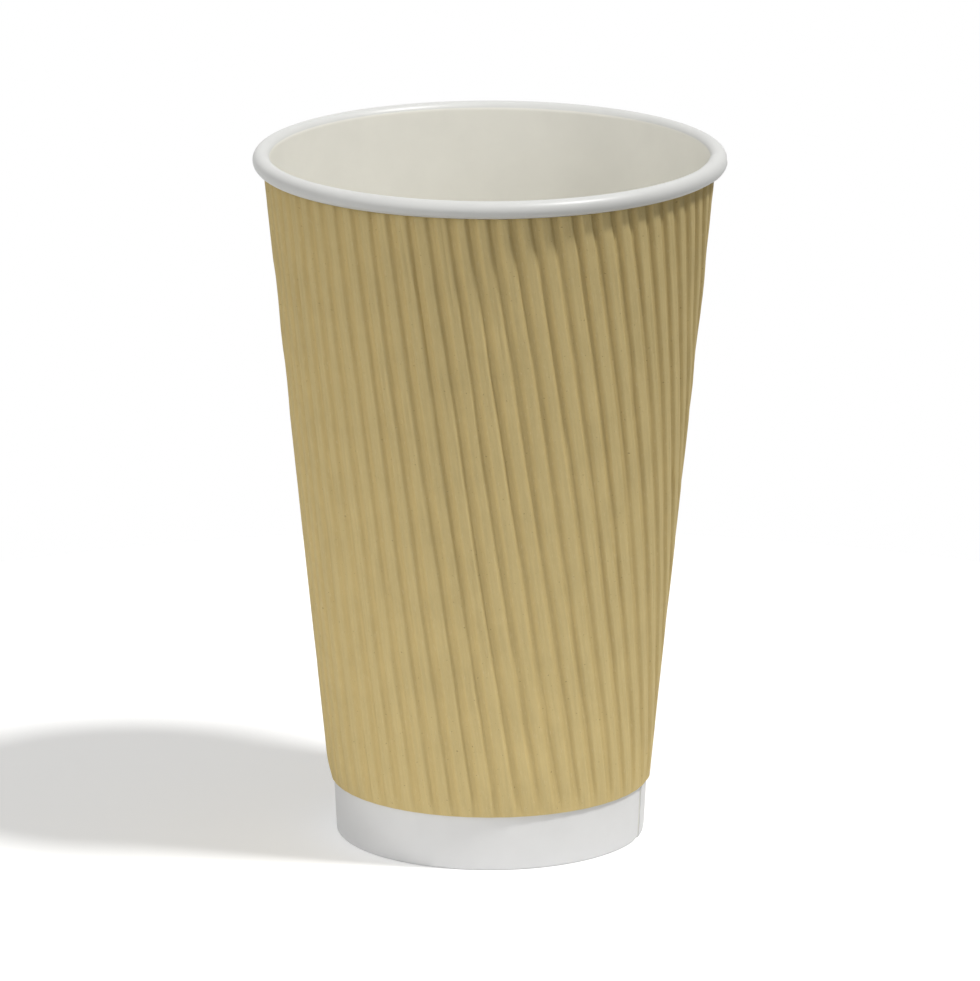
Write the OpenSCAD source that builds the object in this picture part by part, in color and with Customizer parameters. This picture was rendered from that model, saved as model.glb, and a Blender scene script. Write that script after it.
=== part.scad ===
// Ripple-wall paper coffee cup, about 16 oz.
// Three pieces of paper: the side wall, the base and the fluted wrap.
// The foot stands on z = 0, the cup's axis is Z, and the front of the cup faces -Y.

/* [Cup] */
// Diameter over the rolled rim
rim_d = 90; // [80:0.5:100]
// Diameter of the foot at the table
foot_d = 59.2; // [52:0.2:66]
// Height from the table to the top of the rim
cup_h = 133.8; // [100:0.2:160]
// Thickness of the coated paper of the side wall
wall_t = 0.35; // [0.25:0.01:0.45]

/* [Rolled rim] */
// Outer diameter of the roll
roll_d = 3.34; // [3:0.02:4.4]
// Clear space between the turns of the roll
roll_gap = 0.16; // [0.1:0.01:0.25]

/* [Foot and base] */
// Height of the upper face of the base over the table
base_h = 9.6; // [8:0.1:14]
// Thickness of the base's paper
base_t = 0.3; // [0.2:0.01:0.4]
// Outer radius of the bend between the base and its skirt
base_bend = 0.8; // [0.5:0.05:1.5]
// How far the foot widens on the radius from the table up to the base
foot_flare = 0.45; // [0:0.05:0.9]
// Clear height between the turned-up edge of the side wall and the base
turn_up_gap = 2.1; // [1:0.1:4]
// Radius of the two corners of the fold at the table
fold_r = 0.4; // [0.3:0.01:0.5]
// Clear space on each side of the skirt in the fold
skirt_gap = 0.05; // [0.03:0.01:0.1]

/* [Side seam] */
// Direction of the seam, counter-clockwise from +X
seam_at = -10; // [-180:1:180]
// Width of the lap halfway up the cup
seam_w = 6.5; // [4:0.5:9]
// Step that the lap makes on the inside of the cup
seam_in = 0.15; // [0.1:0.01:0.25]
// Step that the lap makes on the outside of the cup
seam_out = 0.1; // [0.05:0.01:0.12]

/* [Ripple wrap] */
// Height of the wrap's lower edge over the upper face of the base
wrap_rise = 1.2; // [0.2:0.1:20]
// Thickness of the kraft paper
wrap_t = 0.25; // [0.15:0.01:0.3]
// Distance from one flute to the next, measured on the flat blank
flute_pitch = 3.86; // [3:0.02:6]
// Height of a flute from its valley to its crest
flute_h = 0.5; // [0.3:0.05:0.8]
// Clear space between the wrap's valleys and the seam of the side wall
wrap_gap = 0.13; // [0.1:0.01:0.3]
// Clear space between the wrap's upper edge and the roll of the rim
wrap_top_gap = 0.2; // [0.1:0.05:1]
// Height over which the flutes are pressed in above the lower edge
pinch_h = 4.5; // [2:0.1:9]
// Share of the flutes' height that is left at the lower edge
pinch_left = 0.12; // [0:0.01:0.5]

/* [Wrap lap] */
// Direction of the lap, counter-clockwise from +X
lap_at = 8; // [-180:1:180]
// Width of the flat strip where the wrap laps over itself
lap_w = 12; // [8:0.5:20]
// Length over which the upper layer's flutes die out into the strip
run_out = 5; // [3:0.5:8]

/* [Hidden] */
paper_white = [0.93, 0.93, 0.91];
kraft = [0.72, 0.64, 0.45];
$fn = 128;

// Steps along a flute from the top of the pinched zone to the rim
wrap_rows = 7;
// Steps along a flute in the pinched zone, as shares of its height
pinch_rows = [0, 0.4];
// Width of the drop at a cut edge of the lap, and of its flat steps
edge_step = 0.15;
lap_steps = 4;

// Rolled rim: centre of the roll and the side wall where it meets the roll
roll_r = roll_d / 2;
roll_x = rim_d / 2 - roll_r;
roll_z = cup_h - roll_r;
roll_turn = wall_t + roll_gap;
wall_top_r = roll_x - roll_r + wall_t;

// Foot: outer radius at the table and at the base
foot_r = foot_d / 2;
base_r = foot_r + foot_flare;
turn_in = wall_t + base_t + 2 * skirt_gap;
fold_w = turn_in + wall_t;
corner_r = min(fold_r, 0.45 * fold_w);

// Slope of the side wall above the base
wall_slope = (wall_top_r - base_r) / (roll_z - base_h);

// Outer radius of the side wall at height z
function wall_r(z) = z < base_h
    ? foot_r + foot_flare * max(0, z - corner_r) / (base_h - corner_r)
    : base_r + wall_slope * (z - base_h);

// Band of the section between two offsets outwards from the side wall's outer face
module wall_band(z0, z1, off0, off1) {
    polygon([
        [wall_r(z0) + off0, z0],
        [wall_r(z0) + off1, z0],
        [wall_r(z1) + off1, z1],
        [wall_r(z1) + off0, z1]
    ]);
}

// Ring in the section, with the quarters that a turn of the roll leaves out cut away
module roll_ring(z, r_out, r_in) {
    translate([roll_x, z])
        difference() {
            circle(r = r_out);
            circle(r = r_in);
            children();
        }
}

// Section of the rolled rim: three quarters of a turn over the wall, then half a turn inside it
module rim_section() {
    roll_ring(roll_z, roll_r, roll_r - wall_t)
        translate([-rim_d, -rim_d])
            square(rim_d);
    inner_r = roll_r - roll_turn;
    roll_ring(roll_z - roll_turn, inner_r, inner_r - wall_t)
        translate([0, -rim_d])
            square([rim_d, 2 * rim_d]);
}

// Section of the fold that stands on the table, open upwards for the skirt
module fold_section() {
    difference() {
        union() {
            translate([foot_r - fold_w + corner_r, 0])
                square([fold_w - 2 * corner_r, corner_r]);
            for (x = [foot_r - fold_w + corner_r, foot_r - corner_r])
                translate([x, corner_r])
                    circle(r = corner_r);
        }
        translate([foot_r - turn_in, wall_t])
            square([turn_in - wall_t, corner_r]);
        translate([foot_r - 2 * fold_w, corner_r])
            square([3 * fold_w, 2 * corner_r]);
    }
}

// Side wall of coated paper with its rolled rim, its folded foot and its side seam
module cup_wall() {
    turn_up_h = base_h - base_t - turn_up_gap;
    color(paper_white)
        union() {
            rotate_extrude()
                union() {
                    wall_band(corner_r, base_h, -wall_t, 0);
                    wall_band(base_h, roll_z, -wall_t, 0);
                    wall_band(corner_r, turn_up_h, -turn_in - wall_t, -turn_in);
                    fold_section();
                    rim_section();
                }
            side_seam();
        }
}

// Lapped strip of the side wall, thicker inwards above the base and outwards down to the foot.
// Its edges point to the tip of the cone, so it is wider at the rim than at the foot.
module side_seam() {
    seam_mid = -wall_t / 2;
    seam_turn = 180 * seam_w / (PI * wall_r(cup_h / 2));
    rotate([0, 0, seam_at - seam_turn / 2])
        rotate_extrude(angle = seam_turn)
            union() {
                wall_band(base_h + base_t, roll_z, -wall_t - seam_in, seam_mid);
                wall_band(corner_r, base_h, seam_mid, seam_out);
                wall_band(base_h, roll_z - roll_r, seam_mid, seam_out);
                roll_ring(roll_z, roll_r + seam_in, roll_r + seam_mid)
                    translate([-rim_d, -rim_d])
                        square(rim_d);
            }
}

// Base of coated paper with its edge turned down as a skirt
module base_disc() {
    skirt_out = -wall_t - skirt_gap;
    bend_z = base_h - base_bend;
    bend_x = wall_r(bend_z) + skirt_out - base_bend;
    color(paper_white)
        rotate_extrude()
            union() {
                wall_band(wall_t + skirt_gap, bend_z, skirt_out - base_t, skirt_out);
                translate([0, base_h - base_t])
                    square([bend_x, base_t]);
                translate([bend_x, bend_z])
                    intersection() {
                        difference() {
                            circle(r = base_bend);
                            circle(r = base_bend - base_t);
                        }
                        square(base_bend);
                    }
            }
}

// The wrap is worked out on its flat blank, a sector of a ring whose tip is the cone's apex.
// A point of the blank is given by u, its distance from the blank's middle line, and by rho,
// its distance from the apex. A flute is a line of constant u.
wrap_seat = seam_out + wrap_gap;
wrap_low = base_h + wrap_rise;
wrap_high = roll_z - roll_r - wrap_top_gap;
cone_sin = sin(atan(wall_slope));
half_fan = 180 * cone_sin;

function seat_r(z) = wall_r(z) + wrap_seat;
function rho_at(z) = seat_r(z) / cone_sin;
function z_at(rho) = base_h + (rho * cone_sin - wrap_seat - base_r) / wall_slope;

// Edge of the flat strip: a line parallel to the blank's cut edge
lap_half = lap_w / 2;
function edge_u(rho) = sin(half_fan) * sqrt(rho * rho - lap_half * lap_half) - lap_half * cos(half_fan);
function edge_rho(u) = norm([(u + lap_half * cos(half_fan)) / sin(half_fan), lap_half]);

// Distance of a point from the edge of the flat strip
function edge_gap(u, rho) = rho * sin(half_fan - asin(abs(u) / rho)) - lap_half;

// Flutes: a flat crest and a flat valley, each a quarter of the pitch wide
quarter = flute_pitch / 4;
function wave(x) = max(0, min(1, max(2 - 4 * x, 4 * x - 3)));
function flute(u) = flute_h * wave(u / flute_pitch - floor(u / flute_pitch));

// Columns: one at each corner of a flute, one at each end of the strip's edges
low_u = edge_u(rho_at(wrap_low));
high_u = edge_u(rho_at(wrap_high));
clear_of = 0.3;
full_u = [for (k = [0:1:floor(low_u / quarter - clear_of)]) k * quarter];
half_u = concat(
    full_u,
    [low_u],
    [for (k = [ceil(low_u / quarter + clear_of):1:floor(high_u / quarter - clear_of)]) k * quarter],
    [high_u]
);
half_n = len(half_u);
col_u = concat([for (k = [half_n - 1:-1:1]) -half_u[k]], half_u);
last = len(col_u) - 1;

// Rows along a column, from its lower end to the upper edge
pinch_share = pinch_h / (wrap_high - wrap_low);
row_share = concat(
    [for (p = pinch_rows) p * pinch_share],
    [for (k = [0:wrap_rows]) pinch_share + (1 - pinch_share) * k / wrap_rows]
);
top_row = len(row_share) - 1;

function col_low(u) = abs(u) <= low_u ? wrap_low : min(wrap_high, z_at(edge_rho(abs(u))));
function row_z(u, i) = col_low(u) + (wrap_high - col_low(u)) * row_share[i];
function pinch(z) = pinch_left + (1 - pinch_left) * sin(90 * min(1, (z - wrap_low) / pinch_h));

// Height of the flutes and lift of the paper at a point, both ruled by the strip's edge
function fade(u, rho, width) = min(1, max(0, edge_gap(u, rho)) / width);
function ripple(u, z) = flute(u) * pinch(z) * fade(u, rho_at(z), u > 0 ? run_out : quarter);
function lift(u, z) = u > 0 ? wrap_t * (1 - fade(u, rho_at(z), run_out)) : 0;

function turn_at(u, z) = asin(u / rho_at(z)) / cone_sin;
function on_cup(turn, z, out) = let (r = seat_r(z) + out, a = turn + lap_at + 180) [r * cos(a), r * sin(a), z];
function sheet_point(u, z, side) = on_cup(turn_at(u, z), z, lift(u, z) + ripple(u, z) + side * wrap_t);

// Points of one face of the fluted sheet; the first and the last column are single points
function sheet_points(side) = concat(
    [sheet_point(col_u[0], wrap_high, side)],
    [for (j = [1:last - 1]) for (i = [0:top_row]) sheet_point(col_u[j], row_z(col_u[j], i), side)],
    [sheet_point(col_u[last], wrap_high, side)]
);
sheet_n = 2 + (last - 1) * (top_row + 1);
function sheet_id(j, i) = j == 0 ? 0 : j == last ? sheet_n - 1 : 1 + (j - 1) * (top_row + 1) + i;

// Flat strip: rows that join the two edges, with a drop beside each of them
first_lap = half_n - 1 + len(full_u);
lap_rows = last - first_lap;
function lap_share(width, k) = k == 0
    ? edge_step / width
    : k == lap_steps ? 1 - edge_step / width : k / lap_steps;
function lap_point(j, k, side) = let (
    u = col_u[j],
    z = row_z(u, 0),
    turn = turn_at(u, z),
    share = lap_share(lap_w, k)
) on_cup(turn + (360 - 2 * turn) * share, z, side * 2 * wrap_t);
function lap_points(side) = [for (j = [first_lap:last]) for (k = [0:lap_steps]) lap_point(j, k, side)];
lap_n = (lap_rows + 1) * (lap_steps + 1);

// Index along a row of the strip: its left edge, its inner points, then its right edge
function lap_id(j, k) = k < 0
    ? sheet_id(j, 0)
    : k > lap_steps ? sheet_id(last - j, 0) : sheet_n + (j - first_lap) * (lap_steps + 1) + k;

// Two triangles of a four-sided face, without those that have shrunk to a line
function tri(a, b, c) = a == b || b == c || c == a ? [] : [[a, b, c]];
function quad(a, b, c, d) = concat(tri(a, b, c), tri(a, c, d));

face_n = sheet_n + lap_n;
function flip(faces) = [for (f = faces) [f[2] + face_n, f[1] + face_n, f[0] + face_n]];
sheet_faces = [
    for (j = [0:last - 1]) for (i = [0:top_row - 1])
        each quad(sheet_id(j, i), sheet_id(j, i + 1), sheet_id(j + 1, i + 1), sheet_id(j + 1, i))
];
lap_faces = [
    for (j = [first_lap:last - 1]) for (k = [-1:lap_steps])
        each quad(lap_id(j, k), lap_id(j + 1, k), lap_id(j + 1, k + 1), lap_id(j, k + 1))
];
outer_faces = concat(sheet_faces, lap_faces);

// The upper and the lower edge of the paper, each once round the cup
top_ring = concat(
    [for (j = [0:last]) sheet_id(j, top_row)],
    [for (k = [0:lap_steps]) lap_id(last, k)]
);
low_ring = concat(
    [for (j = [last - first_lap:first_lap]) sheet_id(j, 0)],
    [for (k = [0:lap_steps]) lap_id(first_lap, k)]
);
function rim_faces(ring) = [
    for (k = [0:len(ring) - 1])
        let (a = ring[k], b = ring[(k + 1) % len(ring)])
            each quad(a, a + face_n, b + face_n, b)
];
function turned(faces) = [for (f = faces) [f[2], f[1], f[0]]];

// Fluted kraft wrap, one single-ply blank with a flat glued lap
module ripple_wrap() {
    color(kraft)
        polyhedron(
            points = concat(sheet_points(1), lap_points(1), sheet_points(0), lap_points(0)),
            faces = concat(
                outer_faces,
                flip(outer_faces),
                rim_faces(top_ring),
                turned(rim_faces(low_ring))
            ),
            convexity = 10
        );
}

cup_wall();
base_disc();
ripple_wrap();
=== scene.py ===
"""Ripple-wall paper coffee cup: three sheets of paper with their finishes, on a table in daylight."""

import math

import bmesh
import bpy
from bpy.props import FloatProperty, FloatVectorProperty, PointerProperty
from mathutils import Euler, Matrix, Vector, noise


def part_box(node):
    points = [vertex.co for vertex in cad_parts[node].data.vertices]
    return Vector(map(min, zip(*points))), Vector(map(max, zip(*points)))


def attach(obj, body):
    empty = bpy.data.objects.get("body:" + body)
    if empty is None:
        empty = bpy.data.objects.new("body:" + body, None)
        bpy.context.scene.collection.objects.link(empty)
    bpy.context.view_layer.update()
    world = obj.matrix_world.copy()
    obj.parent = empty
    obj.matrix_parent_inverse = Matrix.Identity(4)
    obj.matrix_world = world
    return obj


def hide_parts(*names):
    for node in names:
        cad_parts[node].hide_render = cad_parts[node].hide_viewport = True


bl_info = {
    "name": "Ripple Wall Cup",
    "version": (1, 0, 0),
    "blender": (4, 5, 0),
    "location": "View3D > Sidebar > Cup",
    "description": "Builds a paper coffee cup with a fluted kraft wrap from its flat blanks",
    "category": "Add Mesh",
}

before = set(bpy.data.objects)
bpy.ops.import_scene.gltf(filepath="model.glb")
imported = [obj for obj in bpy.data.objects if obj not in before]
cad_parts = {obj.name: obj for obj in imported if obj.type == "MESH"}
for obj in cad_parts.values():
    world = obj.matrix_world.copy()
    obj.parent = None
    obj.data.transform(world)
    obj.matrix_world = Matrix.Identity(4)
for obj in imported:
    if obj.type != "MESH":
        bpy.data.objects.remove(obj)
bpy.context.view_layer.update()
_, WALL_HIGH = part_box("cup_wall")
BASE_LOW, BASE_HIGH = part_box("base_disc")
WRAP_LOW, WRAP_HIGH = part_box("ripple_wrap")

MM = 0.001
UP = Vector((0, 0, 1))
FULL_TURN = 2 * math.pi
HALF_TURN = math.pi
QUARTER_TURN = math.pi / 2

# Points this close together become one, and points this close to the axis lie on it
MERGE_WITHIN = 0.0005 * MM
ON_AXIS = 0.001 * MM

# Edges that bend by less than this are shaded smooth
SHARP_ANGLE = math.radians(50)

# Steps round the axis
WALL_ROUND = 210
BASE_ROUND = 160
TABLE_ROUND = 96

# Steps along the side wall's section, from its turned-up edge to the end of its roll
TURN_UP_STEPS = 3
FOLD_STEPS = 5
SOLE_STEPS = 2
FOOT_STEPS = 4
SIDE_STEPS = 16
ROLL_START_STEPS = 3
ROLL_STEPS = 27
LIP_STEPS = 14

# Steps along the base's section, from the axis to the edge of its skirt
FLOOR_STEPS = 14
BEND_STEPS = 6
SKIRT_STEPS = 5

# Steps of the wrap's blank, and the share of its rows that the pinched edge takes
COLUMNS_PER_FLUTE = 15
BLANK_ROWS = 42
PINCH_ROWS = 0.2

# Angle of the roll over which the paper passes into the rim's greyer colour, which is painted shade
ROLL_START = 0.15 * math.pi

# Inner step of the side seam, which stands up over the rest of the rim
SEAM_IN = 0.15 * MM

# Noise by which the paper strays from a true cone: radius that the cup has in it, and height of a unit
STRAY_ROUND = 0.8
STRAY_UP = 60 * MM

# Uneven places of the wrap: width and length of a unit of noise on the blank, and place in the noise
LONG_BENDS = (7 * MM, 38 * MM, 3.7)
SHORT_BENDS = (3 * MM, 10 * MM, 14.9)
DENTS = (6 * MM, 13 * MM, 21.3)

# What differs between flutes: units of noise from one to the next, length of a unit, and place
CREST_WIDTHS = (5.37, 55 * MM, 0.5)
CREST_GROOVES = (3.71, 24 * MM, 9.1)
CREST_HEIGHTS = (7.13, 40 * MM, 40.2)

# How much weaker the short bends are, and how widths and heights of the flutes vary
SHORT_WEAKER = 3
WIDTH_RANGE = 0.45
HEIGHT_MIDDLE = 0.93
HEIGHT_RANGE = 0.14

# How steeply dents and grooves set in, and how rare the grooves are
DENT_EDGE = 2.2
GROOVE_EDGE = 4
GROOVE_RARITY = 0.6

# Place of a crest beside the middle of the blank, as a share of the pitch
FIRST_CREST = 0.125

# Where the photograph was taken from, a longer lens, and how near and far the camera sees, in metres
CAMERA_AT = (0, -1765.8 * MM, 532.5 * MM)
LENS_MM = 350
SENSOR_MM = 36
NEAREST = 0.1
FURTHEST = 50

# Names of the materials and of the node group that they share
KRAFT = "kraft paper"
BOARD = "coated board"
GRAIN = "Paper Grain"

# Sockets of a Mix node that mixes colours
MIX_FACTOR = 0
MIX_FIRST = 6
MIX_SECOND = 7
MIX_RESULT = 2

# Where most of a noise's values lie, and the whole range of a mask
NOISE_SPAN = (0.3, 0.7)
WHOLE = (0, 1)


def length(name, description, default):
    """A size in metres, shown in the scene's unit."""
    return FloatProperty(
        name=name, description=description, default=default, subtype="DISTANCE", unit="LENGTH"
    )


def share(name, description, default):
    """A share from 0 to 1."""
    return FloatProperty(
        name=name, description=description, default=default, min=0, max=1, subtype="FACTOR"
    )


def turn(name, description, default):
    """An angle, given here in degrees."""
    return FloatProperty(
        name=name, description=description, default=math.radians(default), subtype="ANGLE"
    )


def strength(name, description, default):
    """How strong a light is."""
    return FloatProperty(name=name, description=description, default=default, min=0)


def linear(part):
    """The light behind one part of a colour, by the sRGB curve, both from 0 to 1."""
    if part <= 0.04045:
        return part / 12.92
    return ((part + 0.055) / 1.055) ** 2.4


def colour(name, description, red, green, blue):
    """A colour, given here as a screen shows it, from 0 to 255."""
    default = [linear(part / 255) for part in (red, green, blue)]
    return FloatVectorProperty(
        name=name, description=description, default=default, size=3, min=0, max=1, subtype="COLOR"
    )


class CupSizes(bpy.types.PropertyGroup):
    """Sizes of the side wall and the base."""

    rim_r: length("Rim radius", "Outer radius of the rolled rim", WALL_HIGH.x)
    cup_h: length("Height", "Height of the rolled rim over the table", WALL_HIGH.z - SEAM_IN)
    foot_r: length("Foot radius", "Outer radius of the fold that stands on the table", 29.6 * MM)
    foot_flare: length("Foot flare", "How far the foot widens up to the base", 0.45 * MM)
    wall_t: length("Wall paper", "Thickness of the side wall's paper", 0.35 * MM)
    roll_d: length("Roll", "Outer diameter of the rim's roll", 3.34 * MM)
    roll_gap: length("Roll gap", "Clear space between the turns of the roll", 0.16 * MM)
    fold_r: length("Fold radius", "Outer radius of the corners of the foot's fold", 0.4 * MM)
    base_h: length("Base height", "Height of the base's upper face over the table", BASE_HIGH.z)
    skirt_low: length("Skirt edge", "Height of the lower edge of the base's skirt", BASE_LOW.z)
    base_t: length("Base paper", "Thickness of the base's paper", 0.3 * MM)
    base_bend: length("Base bend", "Outer radius of the bend from base to skirt", 0.8 * MM)
    skirt_gap: length("Skirt gap", "Clear space on each side of the skirt", 0.05 * MM)
    turn_up_gap: length("Turn-up gap", "Height from the turned-up edge to the base", 2.1 * MM)
    seam_at: turn("Seam direction", "Direction of the side seam, counter-clockwise from +X", -10)
    seam_w: length("Seam width", "Width of the side seam halfway up the cup", 6.5 * MM)
    seam_in: length("Inner step", "Step of the side seam inside the cup", SEAM_IN)
    seam_out: length("Outer step", "Step of the side seam outside the cup", 0.1 * MM)
    seam_fade: length("Seam fade", "Length over which paper beside the seam settles", 5 * MM)
    unround: length("Unround", "How far the paper strays from a true cone", 0.16 * MM)


class WrapSizes(bpy.types.PropertyGroup):
    """Sizes of the fluted wrap."""

    low: length("Lower edge", "Height of the wrap's lower edge", WRAP_LOW.z)
    high: length("Upper edge", "Height of the wrap's upper edge", WRAP_HIGH.z)
    paper: length("Kraft paper", "Thickness of the kraft paper", 0.25 * MM)
    gap: length("Wrap gap", "Clear space between the valleys and the side seam", 0.03 * MM)
    pitch: length("Flute pitch", "Distance from flute to flute on the flat blank", 3.86 * MM)
    flute_h: length("Flute height", "Height from valley to crest, halfway up the wrap", 0.72 * MM)
    deepen: share("Deepening", "How much higher flutes are at the upper edge than halfway up", 0.25)
    crest: share("Crest", "Half width of a flute's crest as a share of the pitch", 0.19)
    valley: share("Valley", "Half width of a flute's valley as a share of the pitch", 0.11)
    groove: length("Groove", "Depth of the groove that runs along some crests", 0.13 * MM)
    groove_w: share("Groove width", "Width of that groove as a share of the pitch", 0.2)
    wander: length("Wander", "How far a flute strays sideways from its line", 0.35 * MM)
    dent: share("Dents", "Share of a flute's height that a dent takes away", 0.2)
    pinch_h: length("Pinch height", "Height of the pressed-in zone at the lower edge", 4.5 * MM)
    pinch_left: share("Pinch rest", "Share of the flutes' height left at the lower edge", 0.12)
    lap_at: turn("Lap direction", "Direction of the wrap's lap, counter-clockwise from +X", 8)
    lap_w: length("Lap width", "Width of the flat strip where the wrap laps over itself", 12 * MM)
    lap_gap: length("Lap gap", "Space that the glue takes between the lap's layers", 0.03 * MM)
    run_out: length("Run-out", "Length over which the flutes die out into the strip", 5 * MM)


class PaperLooks(bpy.types.PropertyGroup):
    """Colours of the papers."""

    kraft_crest: colour("Kraft crest", "Colour of the kraft paper on the crests", 208, 187, 132)
    # The valley colour is darker than the crest colour: painted shade in the valleys
    kraft_valley_shade: colour("Kraft valley", "Colour of the kraft paper in the valleys", 204, 182, 126)
    kraft_fibre: colour("Kraft fibre", "Colour of the pale fibres", 222, 206, 160)
    kraft_fleck: colour("Kraft fleck", "Colour of the dark flecks", 134, 108, 66)
    board_in: colour("Drink side", "Colour of the coated side inside the cup", 238, 236, 227)
    # The rim's colour is greyer than the drink side: painted shade on the rolled rim
    board_rim_shade: colour("Rim", "Colour of the coated side round the rolled rim", 213, 213, 210)
    board_out: colour("Board", "Colour of the board's outer side, on the foot", 223, 223, 223)
    board_clouds: share("Board clouds", "How much lighter and darker the board is in places", 0.02)


class StageLooks(bpy.types.PropertyGroup):
    """Table and light."""

    table: colour("Table", "Colour of the table", 232, 232, 231)
    table_r: length("Table radius", "Radius of the round table", 220 * MM)
    table_glow: strength(
        "Table glow", "Light that the camera sees in the table, over what falls on it", 0.32
    )
    key: strength("Key light", "Strength of the light from the upper right", 2.35)
    key_from: turn("Key direction", "Direction of the light, from the camera round to the right", 69)
    key_up: turn("Key height", "Height of the light over the table, as an angle", 60)
    key_size: turn("Key size", "Angle that the light fills, which softens its shadows", 7)
    fill: strength("Fill light", "Strength of the broad light from the left", 1.26)
    fill_from: turn("Fill direction", "Direction of the light, from the camera round to the right", -42)
    fill_up: turn("Fill height", "Height of the light over the table, as an angle", 20)
    fill_size: turn("Fill size", "Angle that the light fills", 72)
    sky: strength("Sky light", "Strength of the light from the sky all round", 0.27)


def smooth(x):
    """Rises from 0 to 1 with level ends."""
    x = min(1.0, max(0.0, x))
    return x * x * (3 - 2 * x)


def mix(low, high, at):
    """The value at a share of the way from low to high."""
    return low + (high - low) * at


class CupForm:
    """What follows from the sizes: the side wall's outline, and the cone that the wrap is rolled on."""

    def __init__(self, cup, wrap):
        self.cup = cup
        self.wrap = wrap
        self.roll_r = cup.roll_d / 2
        self.roll_x = cup.rim_r - self.roll_r
        self.roll_z = cup.cup_h - self.roll_r
        self.base_r = cup.foot_r + cup.foot_flare
        self.turn_in = cup.wall_t + cup.base_t + 2 * cup.skirt_gap
        top_r = self.roll_x - self.roll_r + cup.wall_t
        self.slope = (top_r - self.base_r) / (self.roll_z - cup.base_h)
        self.seat = cup.seam_out + wrap.gap
        self.cone_sin = math.sin(math.atan(self.slope))
        self.half_fan = HALF_TURN * self.cone_sin
        self.rho_low = self.rho_at(wrap.low)
        self.rho_high = self.rho_at(wrap.high)

    def wall_r(self, z):
        """Outer radius of the side wall at a height."""
        cup = self.cup
        if z < cup.base_h:
            return cup.foot_r + cup.foot_flare * max(0.0, z - cup.fold_r) / (cup.base_h - cup.fold_r)
        return self.base_r + self.slope * (z - cup.base_h)

    def rho_at(self, z):
        """Distance from the cone's tip, on the flat blank of the wrap, of the points at a height."""
        return (self.wall_r(z) + self.seat) / self.cone_sin

    def z_at(self, rho):
        """Height of the points at a distance from the cone's tip, on the flat blank of the wrap."""
        return self.cup.base_h + (rho * self.cone_sin - self.seat - self.base_r) / self.slope

    def stray(self, out, z):
        """How far all the paper in one place strays outwards, none at the table and most at the rim."""
        place = Vector((out.x, out.y, 0)) * STRAY_ROUND + UP * (z / STRAY_UP)
        return self.cup.unround * z / self.cup.cup_h * noise.noise(place)


class Section:
    """Draws the middle line of a sheet of paper in the XZ plane and gives it the paper's thickness."""

    def __init__(self, r, z):
        self.bm = bmesh.new()
        layers = self.bm.verts.layers.float
        self.normal_r = layers.new("normal_r")
        self.normal_z = layers.new("normal_z")
        self.side = layers.new("drink_side")
        self.grow_in = layers.new("grow_in")
        self.grow_out = layers.new("grow_out")
        self.rolled = layers.new("rolled")
        self.turned = layers.new("turned")
        self.tip = bmesh.ops.create_vert(self.bm, co=(r, 0, z))["vert"][0]

    def grows(self, inwards, outwards):
        """The stretch drawn from here on takes these shares of the side seam's steps."""
        self.tip[self.grow_in] = inwards
        self.tip[self.grow_out] = outwards

    def line(self, r, z, steps=1):
        """Draws a straight stretch to a radius and a height."""
        first = self.tip.co.copy()
        last = Vector((r, 0, z))
        for step in range(1, steps + 1):
            self.tip = bmesh.ops.extrude_vert_indiv(self.bm, verts=[self.tip])["verts"][0]
            self.tip.co = first.lerp(last, step / steps)

    def arc(self, centre_r, centre_z, angle, steps):
        """Draws an arc. A positive angle turns clockwise, with the radius to the right and Z up."""
        made = bmesh.ops.spin(
            self.bm, geom=[self.tip], cent=(centre_r, 0, centre_z), axis=(0, 1, 0),
            dvec=(0, 0, 0), angle=angle, steps=steps, use_merge=False, use_duplicate=False,
        )
        self.tip = made["geom_last"][0]

    def thicken(self, thickness):
        """Makes the line a strip as wide as the paper is thick, and marks its drink side."""
        path = list(self.bm.verts)
        for k, vert in enumerate(path):
            before = path[max(k - 1, 0)].co
            after = path[min(k + 1, len(path) - 1)].co
            along = (after - before).normalized()
            vert[self.normal_r] = along.z
            vert[self.normal_z] = -along.x
        made = bmesh.ops.extrude_edge_only(self.bm, edges=list(self.bm.edges))
        twins = [part for part in made["geom"] if isinstance(part, bmesh.types.BMVert)]
        for vert in twins:
            vert[self.side] = 1
        for vert in self.bm.verts:
            out = Vector((vert[self.normal_r], 0, vert[self.normal_z]))
            vert.co += out * thickness * (0.5 - vert[self.side])


def add_object(bm, name, material):
    """Puts a bmesh in the scene as an object with one material."""
    mesh = bpy.data.meshes.new(name)
    bm.to_mesh(mesh)
    bm.free()
    mesh.materials.append(material)
    added = bpy.data.objects.new(name, mesh)
    bpy.context.scene.collection.objects.link(added)
    return added


def finish_mesh(bm, name, material):
    """Closes the mesh, points its faces outwards, shades it and makes it a piece of the cup."""
    bmesh.ops.remove_doubles(bm, verts=list(bm.verts), dist=MERGE_WITHIN)
    bmesh.ops.recalc_face_normals(bm, faces=list(bm.faces))
    for face in bm.faces:
        face.smooth = True
    for edge in bm.edges:
        edge.smooth = edge.calc_face_angle(0) < SHARP_ANGLE
    piece = add_object(bm, name, material)
    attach(piece, "root")
    return piece


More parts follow.
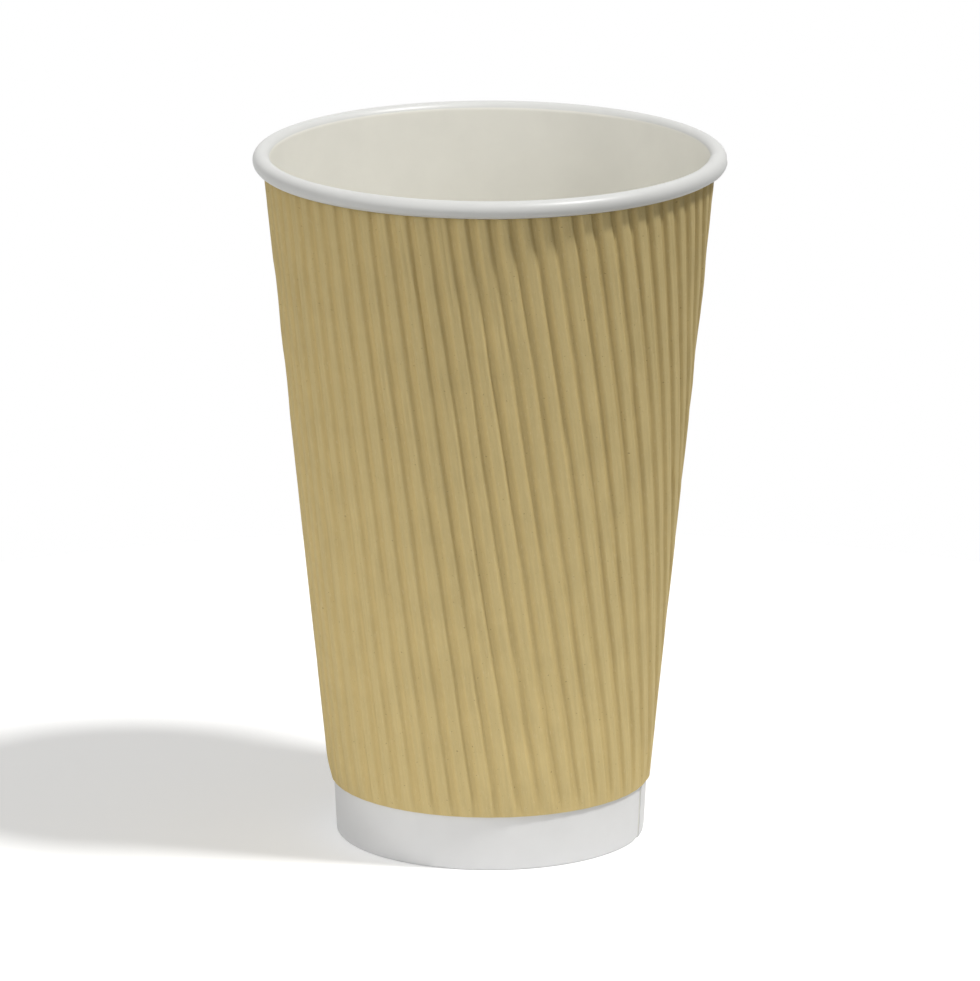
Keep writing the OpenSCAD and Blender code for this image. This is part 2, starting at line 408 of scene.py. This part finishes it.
def wall_section(form):
    """Middle line of the side wall's paper, from its turned-up edge round the fold to its roll."""
    cup = form.cup
    half = cup.wall_t / 2
    fold_mid = cup.fold_r - half
    fold_top = 3 * cup.fold_r
    inner_r = cup.foot_r - form.turn_in - half
    outer_r = cup.foot_r - half
    turn_up = cup.base_h - cup.base_t - cup.turn_up_gap
    section = Section(inner_r + cup.foot_flare * turn_up / cup.base_h, turn_up)
    section.line(inner_r, cup.fold_r, TURN_UP_STEPS)
    section.arc(inner_r + fold_mid, cup.fold_r, -QUARTER_TURN, FOLD_STEPS)
    section.line(outer_r - fold_mid, half, SOLE_STEPS)
    section.arc(outer_r - fold_mid, cup.fold_r, -QUARTER_TURN, FOLD_STEPS)
    section.line(form.wall_r(fold_top) - half, fold_top)
    section.grows(0, 1)
    section.line(form.base_r - half, cup.base_h, FOOT_STEPS)
    section.grows(1, 1)
    section.line(form.wall_r(form.roll_z) - half, form.roll_z, SIDE_STEPS)
    section.grows(1, 0)
    section.arc(form.roll_x, form.roll_z, ROLL_START, ROLL_START_STEPS)
    # From here on the roll takes the rim's greyer colour, which is painted shade
    section.tip[section.rolled] = 1
    section.arc(form.roll_x, form.roll_z, 3 * QUARTER_TURN - ROLL_START, ROLL_STEPS)
    section.grows(0, 0)
    lip_turn = cup.wall_t + cup.roll_gap
    section.arc(form.roll_x, form.roll_z - lip_turn, HALF_TURN, LIP_STEPS)
    return section


def spin_open(section, angle, steps):
    """Spins a section clockwise into a sheet with two cut edges, and notes how far each ring turned."""
    ring = list(section.bm.verts) + list(section.bm.edges) + list(section.bm.faces)
    for step in range(1, steps + 1):
        made = bmesh.ops.spin(
            section.bm, geom=ring, cent=(0, 0, 0), axis=(0, 0, 1), dvec=(0, 0, 0),
            angle=-angle / steps, steps=1, use_merge=False, use_duplicate=False,
        )
        ring = made["geom_last"]
        for part in ring:
            if isinstance(part, bmesh.types.BMVert):
                part[section.turned] = angle * step / steps


def spin_closed(section, steps):
    """Spins a section's outline all the way round. An edge that lies on the axis is left out."""
    bmesh.ops.delete(section.bm, geom=list(section.bm.faces), context="FACES_ONLY")
    outline = []
    for edge in section.bm.edges:
        on_axis = all(vert.co.x < ON_AXIS for vert in edge.verts)
        crosses = edge.verts[0][section.side] != edge.verts[1][section.side]
        at_end = all(len(vert.link_edges) == 2 for vert in edge.verts)
        if not on_axis and (at_end or not crosses):
            outline.append(edge)
    verts = list({vert for edge in outline for vert in edge.verts})
    spare = [edge for edge in section.bm.edges if edge not in outline]
    bmesh.ops.delete(section.bm, geom=spare, context="EDGES")
    bmesh.ops.spin(
        section.bm, geom=verts + outline, cent=(0, 0, 0), axis=(0, 0, 1), dvec=(0, 0, 0),
        angle=FULL_TURN, steps=steps, use_merge=True, use_duplicate=False,
    )


def seam_shift(form, turned, drink_side, grow_in, grow_out, lap):
    """How far a point of the side wall's paper moves outwards, in and beside the side seam.

    The inner layer starts at the seam's first edge. The outer layer ends at its second edge, a full
    turn on.
    """
    cup = form.cup
    fade = cup.seam_fade / form.wall_r(cup.cup_h / 2)
    inner = 1 - smooth((turned - lap) / fade)
    outer = smooth((turned - FULL_TURN + fade) / fade)
    middle = (cup.seam_out - cup.seam_in) / 2
    half = cup.wall_t / 2
    if drink_side:
        return -cup.seam_in * grow_in * inner + (middle + half) * outer
    return (middle - half) * inner + cup.seam_out * grow_out * outer


def build_side_wall(form, material):
    """One sheet, rolled at the rim and folded at the foot, whose ends lap in the side seam."""
    cup = form.cup
    lap = cup.seam_w / form.wall_r(cup.cup_h / 2)
    section = wall_section(form)
    section.thicken(cup.wall_t)
    start = Matrix.Rotation(cup.seam_at + lap / 2, 3, "Z")
    bmesh.ops.rotate(section.bm, verts=list(section.bm.verts), cent=(0, 0, 0), matrix=start)
    spin_open(section, FULL_TURN + lap, WALL_ROUND)
    for vert in section.bm.verts:
        out = Vector((vert.co.x, vert.co.y, 0)).normalized()
        on_drink_side = vert[section.side] > 0.5
        grows = vert[section.grow_in], vert[section.grow_out]
        shift = seam_shift(form, vert[section.turned], on_drink_side, *grows, lap)
        stray = form.stray(out, vert.co.z)
        vert.co += out * (vert[section.normal_r] * shift + stray)
        vert.co += UP * vert[section.normal_z] * shift
    return finish_mesh(section.bm, "paper_side_wall", material)


def build_base(form, material):
    """Round base with its edge bent down into a skirt, which stands in the fold of the side wall."""
    cup = form.cup
    half = cup.base_t / 2
    bend = cup.base_bend - half
    bend_z = cup.base_h - cup.base_bend
    skirt_in = cup.wall_t + cup.skirt_gap + half
    bend_r = form.wall_r(bend_z) - skirt_in - bend
    section = Section(0, cup.base_h - half)
    section.line(bend_r, cup.base_h - half, FLOOR_STEPS)
    section.arc(bend_r, bend_z, QUARTER_TURN, BEND_STEPS)
    section.line(form.wall_r(cup.skirt_low) - skirt_in, cup.skirt_low, SKIRT_STEPS)
    section.thicken(cup.base_t)
    spin_closed(section, BASE_ROUND)
    for vert in section.bm.verts:
        out = Vector((vert.co.x, vert.co.y, 0))
        if out.length > ON_AXIS:
            vert.co += out.normalized() * form.stray(out.normalized(), vert.co.z)
    return finish_mesh(section.bm, "paper_base", material)


def row_share(at, pinch_share):
    """Spreads the rows of the wrap's blank, and keeps a share of them for its pinched lower edge."""
    if at < PINCH_ROWS:
        return pinch_share * at / PINCH_ROWS
    return mix(pinch_share, 1, (at - PINCH_ROWS) / (1 - PINCH_ROWS))


def flat_blank(form):
    """Cuts the wrap's blank in the XY plane: a fan about the cone's tip, with its flutes along Y."""
    wrap = form.wrap
    lap_half = wrap.lap_w / 2
    half_w = form.rho_high * math.sin(form.half_fan) + wrap.lap_w
    columns = round(2 * half_w / wrap.pitch * COLUMNS_PER_FLUTE)
    pinch_share = wrap.pinch_h / (wrap.high - wrap.low)
    bm = bmesh.new()
    bmesh.ops.create_grid(bm, x_segments=columns, y_segments=BLANK_ROWS, size=1)
    for vert in bm.verts:
        u = vert.co.x * half_w
        rho = mix(form.rho_low, form.rho_high, row_share((vert.co.y + 1) / 2, pinch_share))
        vert.co = (u, math.sqrt(rho * rho - u * u), 0)
    for side in (-1, 1):
        out = Vector((side * math.cos(form.half_fan), -math.sin(form.half_fan), 0))
        everything = list(bm.verts) + list(bm.edges) + list(bm.faces)
        bmesh.ops.bisect_plane(
            bm, geom=everything, plane_co=out * lap_half, plane_no=out, clear_outer=True,
        )
    return bm


def on_blank(pattern, u, rho):
    """Noise from about -1 to 1 that changes across and along the blank."""
    across, along, place = pattern
    return noise.noise(Vector((u / across, rho / along, place)))


def on_flute(pattern, number, rho):
    """Noise from about -1 to 1 that changes along a flute, and from each flute to the next."""
    apart, along, place = pattern
    return noise.noise(Vector((number * apart, rho / along, place)))


def flute(form, u, rho):
    """Height of the flutes on the blank, from 0 in a valley to about 1. No two are quite alike."""
    wrap = form.wrap
    u += wrap.wander * on_blank(LONG_BENDS, u, rho)
    u += wrap.wander / SHORT_WEAKER * on_blank(SHORT_BENDS, u, rho)
    place = u / wrap.pitch - FIRST_CREST
    number = math.floor(place + 0.5)
    off_crest = abs(place - number)
    crest = wrap.crest * (1 + WIDTH_RANGE * on_flute(CREST_WIDTHS, number, rho))
    height = 1 - smooth((off_crest - crest) / (0.5 - wrap.valley - crest))
    grooved = smooth(GROOVE_EDGE * on_flute(CREST_GROOVES, number, rho) - GROOVE_RARITY)
    groove = wrap.groove / wrap.flute_h * grooved * (1 - smooth(2 * off_crest / wrap.groove_w))
    dented = smooth(DENT_EDGE * on_blank(DENTS, u, rho))
    taller = HEIGHT_MIDDLE + HEIGHT_RANGE * on_flute(CREST_HEIGHTS, number, rho)
    return height * (taller - wrap.dent * dented) - groove


def flute_share(wrap, z):
    """How high the flutes are at a height: less near the foot, and little at the pinched edge."""
    up = (z - wrap.low) / (wrap.high - wrap.low)
    unpinched = math.sin(QUARTER_TURN * min(1, (z - wrap.low) / wrap.pinch_h))
    return mix(wrap.pinch_left, 1, unpinched) * (1 + wrap.deepen * (2 * up - 1))


def build_ripple_wrap(form, material):
    """Thickens the blank, flutes it and rolls it on to the cup, its right end over its left end."""
    wrap = form.wrap
    bm = flat_blank(form)
    uv_layer = bm.loops.layers.uv.new("blank")
    for face in bm.faces:
        for loop in face.loops:
            loop[uv_layer].uv = loop.vert.co.xy
    crest_layer = bm.verts.layers.float.new("crest")
    everything = list(bm.verts) + list(bm.edges) + list(bm.faces)
    made = bmesh.ops.extrude_face_region(bm, geom=everything)
    outer_face = {part for part in made["geom"] if isinstance(part, bmesh.types.BMVert)}
    lap_half = wrap.lap_w / 2
    hidden_run_out = wrap.pitch / 3
    for vert in bm.verts:
        u = vert.co.x
        rho = math.hypot(u, vert.co.y)
        fan = math.atan2(u, vert.co.y)
        z = form.z_at(rho)
        from_strip = rho * math.sin(form.half_fan - abs(fan)) - lap_half
        fade = smooth(from_strip / (wrap.run_out if u > 0 else hidden_run_out))
        crest = flute(form, u, rho) * fade
        lift = (wrap.paper + wrap.lap_gap) * (1 - fade) if u > 0 else 0
        angle = fan / form.cone_sin + wrap.lap_at + HALF_TURN
        out = Vector((math.cos(angle), math.sin(angle), 0))
        r = form.wall_r(z) + form.seat + lift + form.stray(out, z)
        r += wrap.flute_h * flute_share(wrap, z) * crest
        if vert in outer_face:
            r += wrap.paper
        vert.co = out * r + UP * z
        vert[crest_layer] = crest
    return finish_mesh(bm, "kraft_ripple_wrap", material)


def feed(tree, node, inputs):
    """Fills a node's inputs with values or with links from other nodes' outputs."""
    for name, value in inputs.items():
        if isinstance(value, bpy.types.NodeSocket):
            tree.links.new(value, node.inputs[name])
        else:
            node.inputs[name].default_value = value


def add_node(tree, kind, inputs=None, **settings):
    """Adds a node, sets it up and fills its inputs."""
    node = tree.nodes.new(kind)
    for name, value in settings.items():
        setattr(node, name, value)
    feed(tree, node, inputs or {})
    return node


def maths(tree, operation, *values):
    """Works out a value from others, and returns the output."""
    inputs = dict(enumerate(values))
    return add_node(tree, "ShaderNodeMath", inputs, operation=operation).outputs[0]


def ranged(tree, value, span, to_span=WHOLE):
    """Takes a value from one range to another, and returns the output."""
    inputs = {
        "Value": value, "From Min": span[0], "From Max": span[1],
        "To Min": to_span[0], "To Max": to_span[1],
    }
    return add_node(tree, "ShaderNodeMapRange", inputs).outputs["Result"]


def mixed(tree, factor, first, second):
    """Mixes two colours by a factor, and returns the output."""
    inputs = {MIX_FACTOR: factor, MIX_FIRST: first, MIX_SECOND: second}
    return add_node(tree, "ShaderNodeMix", inputs, data_type="RGBA").outputs[MIX_RESULT]


def toned(tree, tone, value):
    """Makes a colour lighter or darker by a value, and returns the output."""
    inputs = {"Color": tone, "Value": value}
    return add_node(tree, "ShaderNodeHueSaturation", inputs).outputs["Color"]


def bumped(tree, height, strength_of, depth):
    """Turns a height into small relief, and returns the normal."""
    inputs = {"Height": height, "Strength": strength_of, "Distance": depth}
    return add_node(tree, "ShaderNodeBump", inputs).outputs["Normal"]


def attribute(tree, name):
    """Reads one of the mesh's own layers, and returns the output."""
    return add_node(tree, "ShaderNodeAttribute", attribute_name=name).outputs["Fac"]


def noise_on(tree, vector, scale, detail, turned=0.0, stretch=(1, 1, 1)):
    """Noise on a stretched and turned pattern, and returns its value."""
    inputs = {"Vector": vector, "Scale": stretch, "Rotation": (0, 0, turned)}
    place = add_node(tree, "ShaderNodeMapping", inputs).outputs["Vector"]
    inputs = {"Vector": place, "Scale": scale, "Detail": detail, "Roughness": 0.55}
    return add_node(tree, "ShaderNodeTexNoise", inputs).outputs["Fac"]


def grain_group():
    """Node group of what paper shows close up, with its pattern in metres.

    Its outputs run from 0 to 1, apart from the height, which goes up to 1.7.
    """
    group = bpy.data.node_groups.new(GRAIN, "ShaderNodeTree")
    group.interface.new_socket("Vector", in_out="INPUT", socket_type="NodeSocketVector")
    for name in ("Clouds", "Streaks", "Fibres", "Flecks", "Height"):
        group.interface.new_socket(name, in_out="OUTPUT", socket_type="NodeSocketFloat")
    vector = add_node(group, "NodeGroupInput").outputs["Vector"]
    per_mm = 1 / MM
    clouds = noise_on(group, vector, scale=0.12 * per_mm, detail=4)
    streaks = noise_on(group, vector, scale=1.6 * per_mm, detail=4, stretch=(1, 0.05, 1))
    along = noise_on(group, vector, scale=6 * per_mm, detail=2, turned=0.06, stretch=(1, 0.1, 1))
    across = noise_on(group, vector, scale=5 * per_mm, detail=2, turned=1.15, stretch=(1, 0.12, 1))
    specks = noise_on(group, vector, scale=1.7 * per_mm, detail=2)
    fine = noise_on(group, vector, scale=9 * per_mm, detail=3)
    fibre_along = ranged(group, along, (0.6, 0.78))
    fibre_across = ranged(group, across, (0.64, 0.8))
    fibres = maths(group, "MAXIMUM", fibre_along, fibre_across)
    flecks = ranged(group, specks, (0.69, 0.75))
    ridges = ranged(group, streaks, (0.35, 0.7))
    coarse = maths(group, "MULTIPLY_ADD", fibres, 0.3, ridges)
    height = maths(group, "MULTIPLY_ADD", fine, 0.4, coarse)
    add_node(group, "NodeGroupOutput", {
        "Clouds": clouds, "Streaks": streaks, "Fibres": fibres, "Flecks": flecks, "Height": height,
    })
    return group


def use_group(tree, group, vector):
    """Places a node group in a material, and returns its outputs."""
    return add_node(tree, "ShaderNodeGroup", {"Vector": vector}, node_tree=group).outputs


def new_material(name):
    """A material with an empty tree but for its output, and the shader that feeds it."""
    material = bpy.data.materials.new(name)
    material.use_nodes = True
    tree = material.node_tree
    tree.nodes.clear()
    shader = add_node(tree, "ShaderNodeBsdfPrincipled")
    add_node(tree, "ShaderNodeOutputMaterial", {"Surface": shader.outputs["BSDF"]})
    return material, tree, shader


def kraft_material(looks, grain):
    """Matt brown kraft paper, with painted shade that darkens its valleys. Its grain lies on the
    blank's own coordinates, along the flutes.
    """
    material, tree, shader = new_material(KRAFT)
    blank = add_node(tree, "ShaderNodeUVMap", uv_map="blank").outputs["UV"]
    crest = attribute(tree, "crest")
    seen = use_group(tree, grain, blank)
    # The crest layer mixes in the darker valley colour: painted shade where less light falls into the
    # valleys
    on_crest = ranged(tree, crest, (0.1, 0.9))
    tone = mixed(tree, on_crest, (*looks.kraft_valley_shade, 1), (*looks.kraft_crest, 1))
    clouds = ranged(tree, seen["Clouds"], NOISE_SPAN, (0.96, 1.04))
    streaks = ranged(tree, seen["Streaks"], NOISE_SPAN, (0.95, 1.05))
    tone = toned(tree, tone, maths(tree, "MULTIPLY", clouds, streaks))
    fibres = ranged(tree, seen["Fibres"], WHOLE, (0, 0.6))
    tone = mixed(tree, fibres, tone, (*looks.kraft_fibre, 1))
    flecks = ranged(tree, seen["Flecks"], WHOLE, (0, 0.55))
    tone = mixed(tree, flecks, tone, (*looks.kraft_fleck, 1))
    normal = bumped(tree, seen["Height"], 0.6, 0.07 * MM)
    feed(tree, shader, {
        "Base Color": tone, "Roughness": 0.85, "Specular IOR Level": 0.25, "Normal": normal,
    })
    return material


def board_material(looks, grain):
    """White board, glossier on its coated drink side, which is also the outside of the rim. The rolled
    rim is painted greyer, as painted shade.
    """
    material, tree, shader = new_material(BOARD)
    place = add_node(tree, "ShaderNodeTexCoord").outputs["Object"]
    drink_side = attribute(tree, "drink_side")
    rolled = attribute(tree, "rolled")
    seen = use_group(tree, grain, place)
    # The rolled part of the drink side takes the rim's greyer colour: painted shade
    coated = mixed(tree, rolled, (*looks.board_in, 1), (*looks.board_rim_shade, 1))
    tone = mixed(tree, drink_side, (*looks.board_out, 1), coated)
    cloud_span = (1 - looks.board_clouds, 1 + looks.board_clouds)
    tone = toned(tree, tone, ranged(tree, seen["Clouds"], NOISE_SPAN, cloud_span))
    roughness = ranged(tree, drink_side, WHOLE, (0.6, 0.38))
    normal = bumped(tree, seen["Height"], 0.12, 0.02 * MM)
    feed(tree, shader, {"Base Color": tone, "Roughness": roughness, "Normal": normal})
    return material


def seen_rays(tree):
    """Is 1 for what the camera sees, also in gloss or glass, and 0 for light that falls on things."""
    rays = add_node(tree, "ShaderNodeLightPath").outputs
    seen = maths(tree, "MAXIMUM", rays["Is Camera Ray"], rays["Is Glossy Ray"])
    return maths(tree, "MAXIMUM", seen, rays["Is Transmission Ray"])


def table_material(stage):
    """Pale table that the camera sees as white, with the cup's shadow on it."""
    material, tree, shader = new_material("table")
    glow = ranged(tree, seen_rays(tree), WHOLE, (0, stage.table_glow))
    feed(tree, shader, {
        "Base Color": (*stage.table, 1), "Roughness": 0.9, "Specular IOR Level": 0.1,
        "Emission Color": (1, 1, 1, 1), "Emission Strength": glow,
    })
    return material


def white_world(stage):
    """Sky that lights the cup softly from above, and is white to the camera and in gloss."""
    world = bpy.data.worlds.new("daylight")
    world.use_nodes = True
    tree = world.node_tree
    tree.nodes.clear()
    direction = add_node(tree, "ShaderNodeTexCoord").outputs["Generated"]
    height = add_node(tree, "ShaderNodeSeparateXYZ", {"Vector": direction}).outputs["Z"]
    sky = ranged(tree, height, (-0.05, 0.25), (0, stage.sky))
    level = maths(tree, "MAXIMUM", seen_rays(tree), sky)
    background = add_node(tree, "ShaderNodeBackground", {"Color": (1, 1, 1, 1), "Strength": level})
    add_node(tree, "ShaderNodeOutputWorld", {"Surface": background.outputs["Background"]})
    bpy.context.scene.world = world


def build_table(stage):
    """Round table in the plane that the cup stands on."""
    bm = bmesh.new()
    bmesh.ops.create_circle(bm, cap_ends=True, segments=TABLE_ROUND, radius=stage.table_r)
    return add_object(bm, "table", table_material(stage))


def add_sun(name, power, direction, height, size):
    """A distant light. Its direction is counted from the camera's side round to the right."""
    sun = bpy.data.lights.new(name, "SUN")
    sun.energy = power
    sun.angle = size
    lamp = bpy.data.objects.new(name, sun)
    lamp.rotation_euler = Euler((QUARTER_TURN - height, 0, direction))
    bpy.context.scene.collection.objects.link(lamp)


def add_camera(target):
    """Looks at the cup from where the photograph was taken, through a longer lens."""
    data = bpy.data.cameras.new("camera")
    data.lens = LENS_MM
    data.sensor_width = SENSOR_MM
    data.clip_start = NEAREST
    data.clip_end = FURTHEST
    camera = bpy.data.objects.new("camera", data)
    camera.location = CAMERA_AT
    camera.rotation_euler = (target - camera.location).to_track_quat("-Z", "Y").to_euler()
    bpy.context.scene.collection.objects.link(camera)
    bpy.context.scene.camera = camera


class CupOperator(bpy.types.Operator):
    """Base of the cup's operators."""

    bl_options = {"REGISTER", "UNDO"}

    def form(self, context):
        """The cup's form at the sizes that the scene holds."""
        return CupForm(context.scene.cup_sizes, context.scene.wrap_sizes)

    def material(self, name, make):
        """The named material, made the first time that it is asked for."""
        found = bpy.data.materials.get(name)
        grain = bpy.data.node_groups.get(GRAIN) or grain_group()
        return found or make(bpy.context.scene.paper_looks, grain)


class CUP_OT_side_wall(CupOperator):
    """Build the white side wall with its side seam, rolled rim and folded foot"""

    bl_idname = "cup.side_wall"
    bl_label = "Side Wall"

    def execute(self, context):
        piece = build_side_wall(self.form(context), self.material(BOARD, board_material))
        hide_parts("cup_wall")
        return {"FINISHED"}


class CUP_OT_base(CupOperator):
    """Build the white base with its skirt"""

    bl_idname = "cup.base"
    bl_label = "Base"

    def execute(self, context):
        piece = build_base(self.form(context), self.material(BOARD, board_material))
        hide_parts("base_disc")
        return {"FINISHED"}


class CUP_OT_ripple_wrap(CupOperator):
    """Build the fluted kraft wrap from its flat blank"""

    bl_idname = "cup.ripple_wrap"
    bl_label = "Ripple Wrap"

    def execute(self, context):
        piece = build_ripple_wrap(self.form(context), self.material(KRAFT, kraft_material))
        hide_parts("ripple_wrap")
        return {"FINISHED"}


class CUP_OT_stage(CupOperator):
    """Build the table, the light and the camera"""

    bl_idname = "cup.stage"
    bl_label = "Table, Light and Camera"

    def execute(self, context):
        stage = context.scene.stage_looks
        table = build_table(stage)
        white_world(stage)
        add_sun("key light", stage.key, stage.key_from, stage.key_up, stage.key_size)
        add_sun("fill light", stage.fill, stage.fill_from, stage.fill_up, stage.fill_size)
        add_camera(Vector((0, 0, WALL_HIGH.z / 2)))
        context.scene.view_settings.view_transform = "Standard"
        return {"FINISHED"}


class CUP_PT_panel(bpy.types.Panel):
    """Lists the steps that build the cup, and its sizes and colours."""

    bl_label = "Ripple Wall Cup"
    bl_idname = "CUP_PT_panel"
    bl_space_type = "VIEW_3D"
    bl_region_type = "UI"
    bl_category = "Cup"

    def draw(self, context):
        """Draws a button for each step and a box for each group of values."""
        layout = self.layout
        for step in STEPS:
            layout.operator(step.bl_idname)
        for group_name in GROUPS:
            group = getattr(context.scene, group_name)
            box = layout.box()
            for name in group.bl_rna.properties.keys():
                if name not in ("rna_type", "name"):
                    box.prop(group, name)


GROUPS = {
    "cup_sizes": CupSizes,
    "wrap_sizes": WrapSizes,
    "paper_looks": PaperLooks,
    "stage_looks": StageLooks,
}
STEPS = (CUP_OT_side_wall, CUP_OT_base, CUP_OT_ripple_wrap, CUP_OT_stage)


def register():
    """Makes the cup's classes known, and gives the scene its groups of values."""
    for cls in (*GROUPS.values(), *STEPS, CUP_PT_panel):
        bpy.utils.register_class(cls)
    for name, group in GROUPS.items():
        setattr(bpy.types.Scene, name, PointerProperty(type=group))


def unregister():
    """Takes back what register did."""
    for name in GROUPS:
        delattr(bpy.types.Scene, name)
    for cls in reversed((*GROUPS.values(), *STEPS, CUP_PT_panel)):
        bpy.utils.unregister_class(cls)


def main():
    """Builds the cup on its table, with its light and camera."""
    register()
    bpy.ops.cup.side_wall()
    bpy.ops.cup.base()
    bpy.ops.cup.ripple_wrap()
    bpy.ops.cup.stage()


if __name__ == "__main__":
    main()
